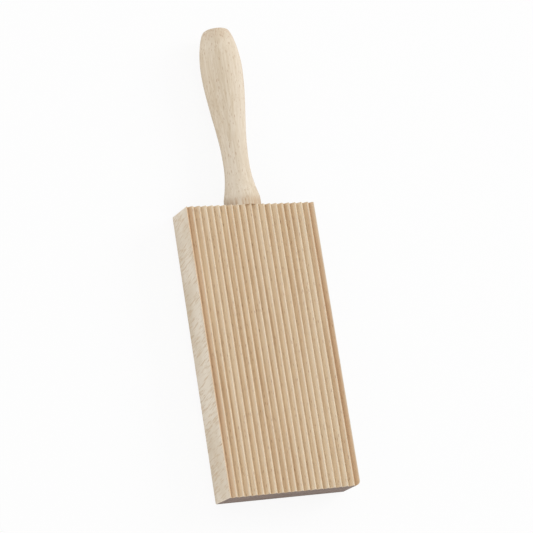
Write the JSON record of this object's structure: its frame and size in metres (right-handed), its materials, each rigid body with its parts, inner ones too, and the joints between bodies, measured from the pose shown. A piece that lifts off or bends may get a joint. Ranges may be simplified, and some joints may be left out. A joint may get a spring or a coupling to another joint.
{
  "type": "gnocchi board",
  "caption": "Flat beech board with sharp lengthwise ridges across its front and a turned beech handle glued into its end.",
  "frame": {"origin": "centre of the board's flat back", "axes": "+X across the board, +Y from the board towards the handle, +Z out of the ridged face"},
  "size_m": [0.065, 0.223, 0.0197],
  "materials": {
    "board_beech": "planed, unfinished",
    "handle_beech": "turned and sanded, unfinished",
    "set_glue": "set wood glue"
  },
  "bodies": {
    "root": {"ridged_board": "board_beech", "handle": "handle_beech", "glue_line": "set_glue"}
  },
  "joints": []
}
